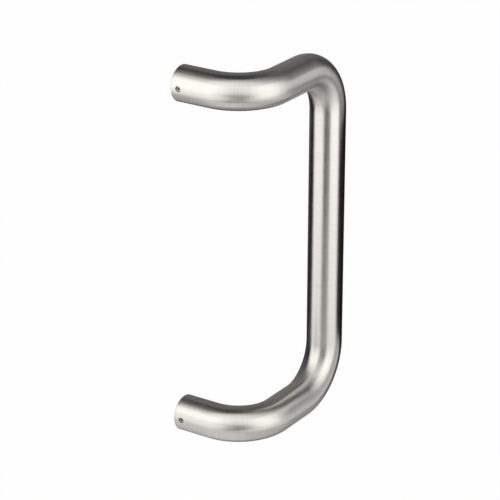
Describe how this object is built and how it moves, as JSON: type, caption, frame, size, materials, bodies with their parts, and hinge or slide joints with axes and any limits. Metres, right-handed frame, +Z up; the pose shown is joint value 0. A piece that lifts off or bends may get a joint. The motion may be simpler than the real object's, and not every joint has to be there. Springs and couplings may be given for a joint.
{
  "type": "offset pull handle",
  "caption": "Tubular door pull: a straight vertical grip, offset sideways from two square legs that fix to the door with set screws.",
  "frame": {"origin": "on the door's face, midway between the two legs' axes", "axes": "+Y from the handle into the door, +Z up along the grip, +X from the legs towards the offset grip"},
  "size_m": [0.1508, 0.0864, 0.3368],
  "materials": {
    "tube_satin": "satin, brushed round the tube",
    "plug_turned": "as turned",
    "screw_plain": "plain"
  },
  "bodies": {
    "root": {"handle_tube": "tube_satin", "upper_end_plug": "plug_turned", "lower_end_plug": "plug_turned", "upper_set_screw": "screw_plain", "lower_set_screw": "screw_plain"}
  },
  "joints": []
}
